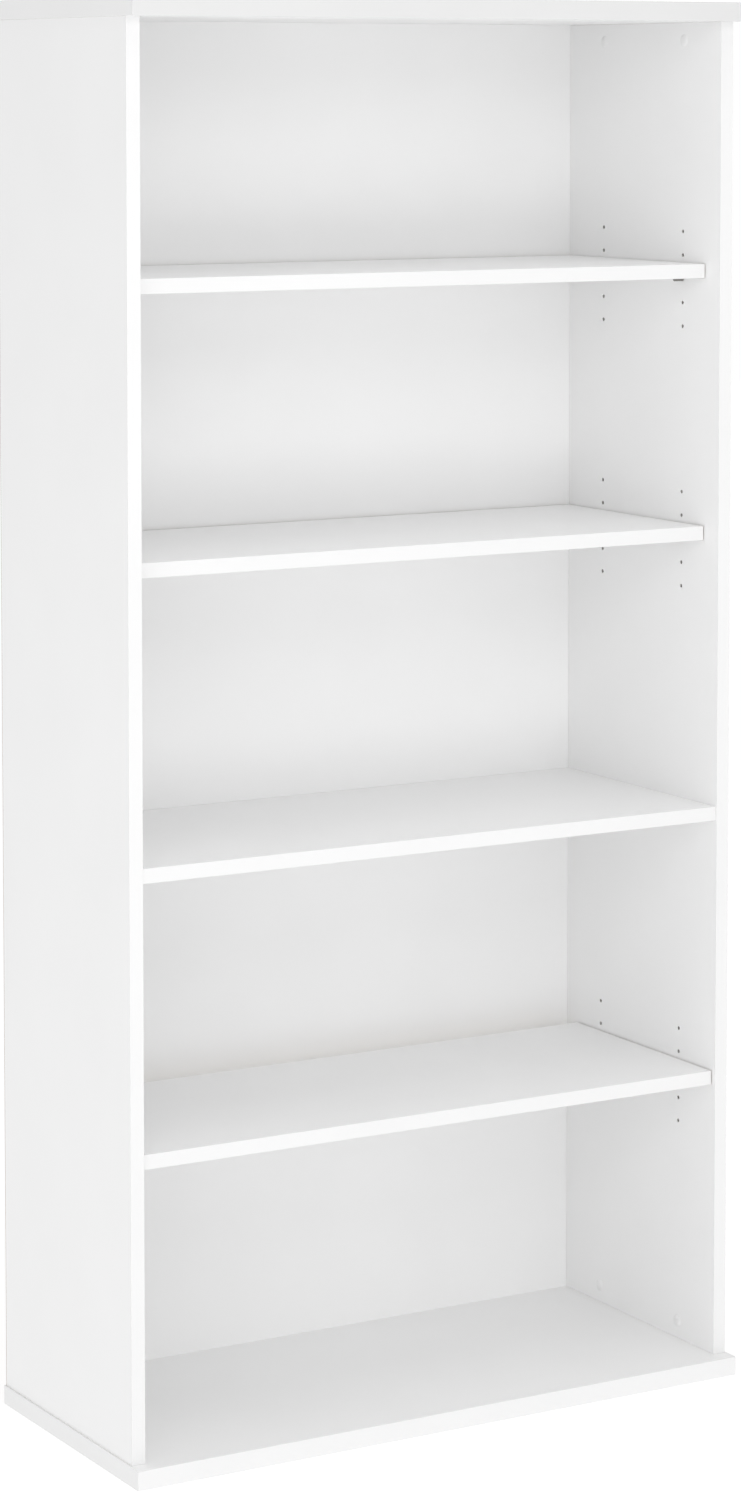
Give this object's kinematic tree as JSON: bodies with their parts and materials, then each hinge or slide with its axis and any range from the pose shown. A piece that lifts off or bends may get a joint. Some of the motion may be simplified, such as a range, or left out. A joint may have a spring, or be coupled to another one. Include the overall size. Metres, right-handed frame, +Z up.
{
  "type": "bookcase",
  "caption": "Tall white laminate bookcase: a fixed shelf and loose shelves on pull-out pins in drilled sides, cam and dowel joints, thin nailed back.",
  "frame": {"origin": "on the floor, under the middle of the case", "axes": "+X to the right as seen from the open front, +Y from the front to the back panel, +Z up"},
  "size_m": [0.906, 0.39, 1.849],
  "materials": {
    "laminate_board": "white melamine laminate on particleboard, satin, raw on its hidden edges",
    "edge_banding": "white edge banding, satin",
    "back_board": "thin hardboard, white laminate in front and brown behind",
    "pin_steel": "nickel-plated steel, satin",
    "cam_zinc": "cast zinc, satin",
    "bolt_steel": "zinc-plated steel",
    "dowel_wood": "turned beech, unfinished",
    "cover_plastic": "white moulded plastic, satin",
    "nail_steel": "bright steel"
  },
  "bodies": {
    "carcass": {"top_panel": "laminate_board", "base_panel": "laminate_board", "left_side_panel": "laminate_board", "right_side_panel": "laminate_board", "fixed_shelf": "laminate_board", "back_panel": "back_board", "top_panel_edging": "edge_banding", "base_panel_edging": "edge_banding", "left_side_edging": "edge_banding", "right_side_edging": "edge_banding", "fixed_shelf_edging": "edge_banding", "top_cam_bolts": "bolt_steel", "top_dowels": "dowel_wood", "base_cam_bolts": "bolt_steel", "base_dowels": "dowel_wood", "fixed_shelf_cam_bolts": "bolt_steel", "fixed_shelf_dowels": "dowel_wood", "left_cam_covers": "cover_plastic", "right_cam_covers": "cover_plastic", "back_panel_nails": "nail_steel"},
    "lower_shelf": {"lower_shelf": "laminate_board", "lower_shelf_edging": "edge_banding"},
    "middle_shelf": {"middle_shelf": "laminate_board", "middle_shelf_edging": "edge_banding"},
    "upper_shelf": {"upper_shelf": "laminate_board", "upper_shelf_edging": "edge_banding"},
    "lower_shelf_pin_front_left": {"lower_shelf_pin_front_left": "pin_steel"},
    "lower_shelf_pin_front_right": {"lower_shelf_pin_front_right": "pin_steel"},
    "lower_shelf_pin_rear_left": {"lower_shelf_pin_rear_left": "pin_steel"},
    "lower_shelf_pin_rear_right": {"lower_shelf_pin_rear_right": "pin_steel"},
    "middle_shelf_pin_front_left": {"middle_shelf_pin_front_left": "pin_steel"},
    "middle_shelf_pin_front_right": {"middle_shelf_pin_front_right": "pin_steel"},
    "middle_shelf_pin_rear_left": {"middle_shelf_pin_rear_left": "pin_steel"},
    "middle_shelf_pin_rear_right": {"middle_shelf_pin_rear_right": "pin_steel"},
    "upper_shelf_pin_front_left": {"upper_shelf_pin_front_left": "pin_steel"},
    "upper_shelf_pin_front_right": {"upper_shelf_pin_front_right": "pin_steel"},
    "upper_shelf_pin_rear_left": {"upper_shelf_pin_rear_left": "pin_steel"},
    "upper_shelf_pin_rear_right": {"upper_shelf_pin_rear_right": "pin_steel"},
    "top_cam_front_left": {"top_cam_front_left": "cam_zinc"},
    "top_cam_front_right": {"top_cam_front_right": "cam_zinc"},
    "top_cam_rear_left": {"top_cam_rear_left": "cam_zinc"},
    "top_cam_rear_right": {"top_cam_rear_right": "cam_zinc"},
    "base_cam_front_left": {"base_cam_front_left": "cam_zinc"},
    "base_cam_front_right": {"base_cam_front_right": "cam_zinc"},
    "base_cam_rear_left": {"base_cam_rear_left": "cam_zinc"},
    "base_cam_rear_right": {"base_cam_rear_right": "cam_zinc"},
    "fixed_shelf_cam_front_left": {"fixed_shelf_cam_front_left": "cam_zinc"},
    "fixed_shelf_cam_front_right": {"fixed_shelf_cam_front_right": "cam_zinc"},
    "fixed_shelf_cam_rear_left": {"fixed_shelf_cam_rear_left": "cam_zinc"},
    "fixed_shelf_cam_rear_right": {"fixed_shelf_cam_rear_right": "cam_zinc"}
  },
  "joints": [
    {"name": "lower_shelf_lift", "type": "slide", "parent": "carcass", "child": "lower_shelf", "axis": [0, 0, 1], "range_m": [0, 0.064]},
    {"name": "middle_shelf_lift", "type": "slide", "parent": "carcass", "child": "middle_shelf", "axis": [0, 0, 1], "range_m": [0, 0.064]},
    {"name": "upper_shelf_lift", "type": "slide", "parent": "carcass", "child": "upper_shelf", "axis": [0, 0, 1], "range_m": [0, 0.064]},
    {"name": "lower_shelf_pin_front_left_pull", "type": "slide", "parent": "carcass", "child": "lower_shelf_pin_front_left", "axis": [1, 0, 0], "range_m": [0, 0.0095]},
    {"name": "lower_shelf_pin_front_right_pull", "type": "slide", "parent": "carcass", "child": "lower_shelf_pin_front_right", "axis": [-1, 0, 0], "range_m": [0, 0.0095]},
    {"name": "lower_shelf_pin_rear_left_pull", "type": "slide", "parent": "carcass", "child": "lower_shelf_pin_rear_left", "axis": [1, 0, 0], "range_m": [0, 0.0095]},
    {"name": "lower_shelf_pin_rear_right_pull", "type": "slide", "parent": "carcass", "child": "lower_shelf_pin_rear_right", "axis": [-1, 0, 0], "range_m": [0, 0.0095]},
    {"name": "middle_shelf_pin_front_left_pull", "type": "slide", "parent": "carcass", "child": "middle_shelf_pin_front_left", "axis": [1, 0, 0], "range_m": [0, 0.0095]},
    {"name": "middle_shelf_pin_front_right_pull", "type": "slide", "parent": "carcass", "child": "middle_shelf_pin_front_right", "axis": [-1, 0, 0], "range_m": [0, 0.0095]},
    {"name": "middle_shelf_pin_rear_left_pull", "type": "slide", "parent": "carcass", "child": "middle_shelf_pin_rear_left", "axis": [1, 0, 0], "range_m": [0, 0.0095]},
    {"name": "middle_shelf_pin_rear_right_pull", "type": "slide", "parent": "carcass", "child": "middle_shelf_pin_rear_right", "axis": [-1, 0, 0], "range_m": [0, 0.0095]},
    {"name": "upper_shelf_pin_front_left_pull", "type": "slide", "parent": "carcass", "child": "upper_shelf_pin_front_left", "axis": [1, 0, 0], "range_m": [0, 0.0095]},
    {"name": "upper_shelf_pin_front_right_pull", "type": "slide", "parent": "carcass", "child": "upper_shelf_pin_front_right", "axis": [-1, 0, 0], "range_m": [0, 0.0095]},
    {"name": "upper_shelf_pin_rear_left_pull", "type": "slide", "parent": "carcass", "child": "upper_shelf_pin_rear_left", "axis": [1, 0, 0], "range_m": [0, 0.0095]},
    {"name": "upper_shelf_pin_rear_right_pull", "type": "slide", "parent": "carcass", "child": "upper_shelf_pin_rear_right", "axis": [-1, 0, 0], "range_m": [0, 0.0095]},
    {"name": "top_cam_front_left_turn", "type": "hinge", "parent": "carcass", "child": "top_cam_front_left", "pos_m": [-0.4315, -0.0865, 1.8], "axis": [1, 0, 0], "range_deg": [0, 180]},
    {"name": "top_cam_front_right_turn", "type": "hinge", "parent": "carcass", "child": "top_cam_front_right", "pos_m": [0.4315, -0.0865, 1.8], "axis": [-1, 0, 0], "range_deg": [0, 180]},
    {"name": "top_cam_rear_left_turn", "type": "hinge", "parent": "carcass", "child": "top_cam_rear_left", "pos_m": [-0.4315, 0.1055, 1.8], "axis": [1, 0, 0], "range_deg": [0, 180]},
    {"name": "top_cam_rear_right_turn", "type": "hinge", "parent": "carcass", "child": "top_cam_rear_right", "pos_m": [0.4315, 0.1055, 1.8], "axis": [-1, 0, 0], "range_deg": [0, 180]},
    {"name": "base_cam_front_left_turn", "type": "hinge", "parent": "carcass", "child": "base_cam_front_left", "pos_m": [-0.4315, -0.0865, 0.049], "axis": [1, 0, 0], "range_deg": [0, 180]},
    {"name": "base_cam_front_right_turn", "type": "hinge", "parent": "carcass", "child": "base_cam_front_right", "pos_m": [0.4315, -0.0865, 0.049], "axis": [-1, 0, 0], "range_deg": [0, 180]},
    {"name": "base_cam_rear_left_turn", "type": "hinge", "parent": "carcass", "child": "base_cam_rear_left", "pos_m": [-0.4315, 0.1055, 0.049], "axis": [1, 0, 0], "range_deg": [0, 180]},
    {"name": "base_cam_rear_right_turn", "type": "hinge", "parent": "carcass", "child": "base_cam_rear_right", "pos_m": [0.4315, 0.1055, 0.049], "axis": [-1, 0, 0], "range_deg": [0, 180]},
    {"name": "fixed_shelf_cam_front_left_turn", "type": "hinge", "parent": "carcass", "child": "fixed_shelf_cam_front_left", "pos_m": [-0.4075, -0.0865, 0.7555], "axis": [0, 0, -1], "range_deg": [0, 180]},
    {"name": "fixed_shelf_cam_front_right_turn", "type": "hinge", "parent": "carcass", "child": "fixed_shelf_cam_front_right", "pos_m": [0.4075, -0.0865, 0.7555], "axis": [0, 0, -1], "range_deg": [0, 180]},
    {"name": "fixed_shelf_cam_rear_left_turn", "type": "hinge", "parent": "carcass", "child": "fixed_shelf_cam_rear_left", "pos_m": [-0.4075, 0.1055, 0.7555], "axis": [0, 0, -1], "range_deg": [0, 180]},
    {"name": "fixed_shelf_cam_rear_right_turn", "type": "hinge", "parent": "carcass", "child": "fixed_shelf_cam_rear_right", "pos_m": [0.4075, 0.1055, 0.7555], "axis": [0, 0, -1], "range_deg": [0, 180]}
  ]
}
